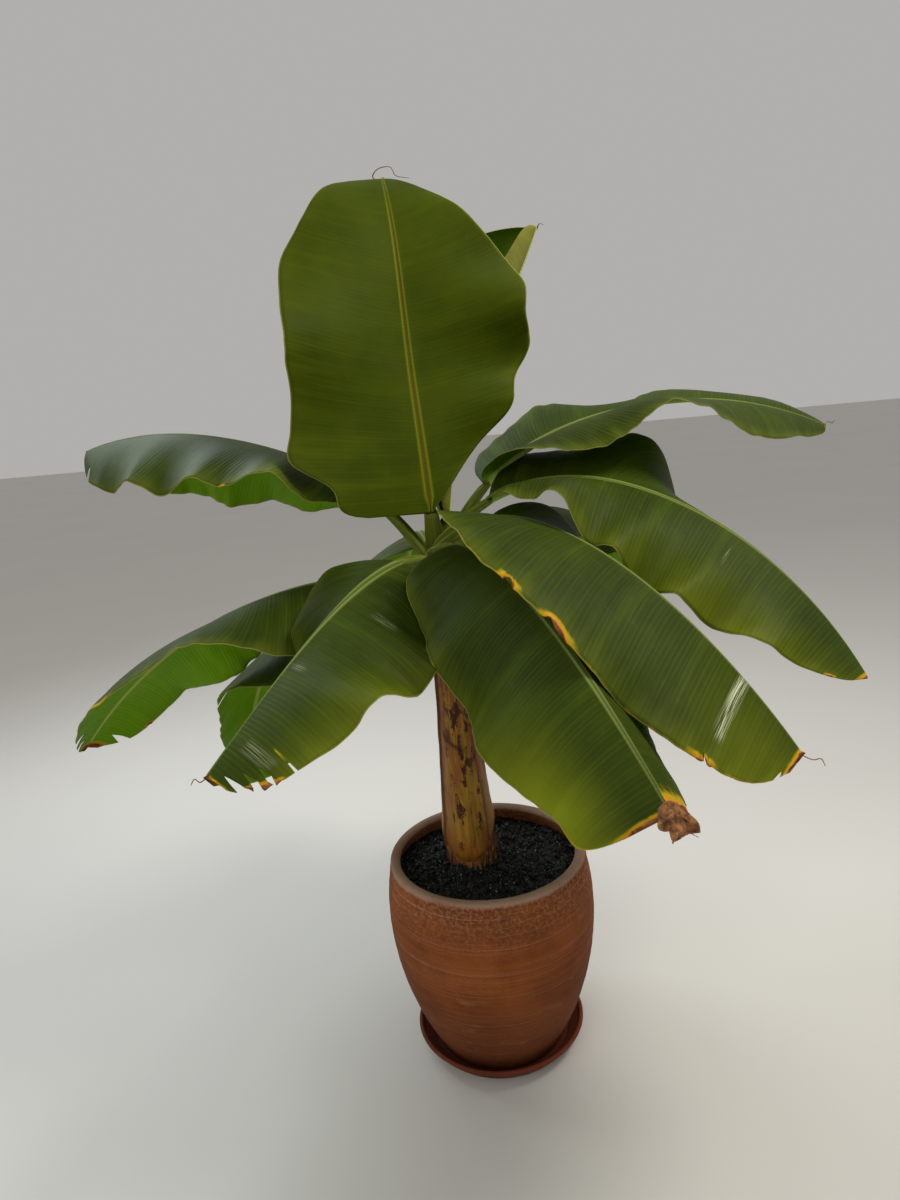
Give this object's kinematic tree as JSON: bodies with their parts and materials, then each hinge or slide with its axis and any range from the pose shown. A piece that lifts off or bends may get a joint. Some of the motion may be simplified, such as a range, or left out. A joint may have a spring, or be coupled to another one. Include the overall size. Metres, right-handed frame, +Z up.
{
  "type": "potted banana plant",
  "caption": "Banana plant with a leaning pseudostem and broad, arching, wavy-edged leaves, in a bellied clay pot that stands in a saucer.",
  "frame": {"origin": "centre of the saucer's flat underside", "axes": "+Z up; -Y is the side the picture was taken from, which the tall upright leaf's upper side faces; +X is the right-hand side in that view"},
  "size_m": [1.4009, 1.2832, 1.7095],
  "materials": {
    "clay_pot": "matt unglazed clay",
    "clay_saucer": "matt unglazed clay",
    "potting_soil": "rough, crumbly and moist",
    "pseudostem": "satin leaf sheaths with dark blotches",
    "leaf_stalk": "satin",
    "leaf": "satin above, matt below"
  },
  "bodies": {
    "root": {"saucer": "clay_saucer", "pot": "clay_pot", "soil": "potting_soil", "pseudostem": "pseudostem", "stalk_front": "leaf_stalk", "stalk_front_left": "leaf_stalk", "stalk_front_right": "leaf_stalk", "stalk_furled": "leaf_stalk", "stalk_high_left": "leaf_stalk", "stalk_high_right": "leaf_stalk", "stalk_low_left": "leaf_stalk", "stalk_rear": "leaf_stalk", "stalk_rear_left": "leaf_stalk", "stalk_rear_right": "leaf_stalk", "stalk_right": "leaf_stalk", "stalk_upright": "leaf_stalk", "leaf_front": "leaf", "leaf_front_left": "leaf", "leaf_front_right": "leaf", "leaf_furled": "leaf", "leaf_high_left": "leaf", "leaf_high_right": "leaf", "leaf_low_left": "leaf", "leaf_rear": "leaf", "leaf_rear_left": "leaf", "leaf_rear_right": "leaf", "leaf_right": "leaf", "leaf_upright": "leaf"}
  },
  "joints": []
}
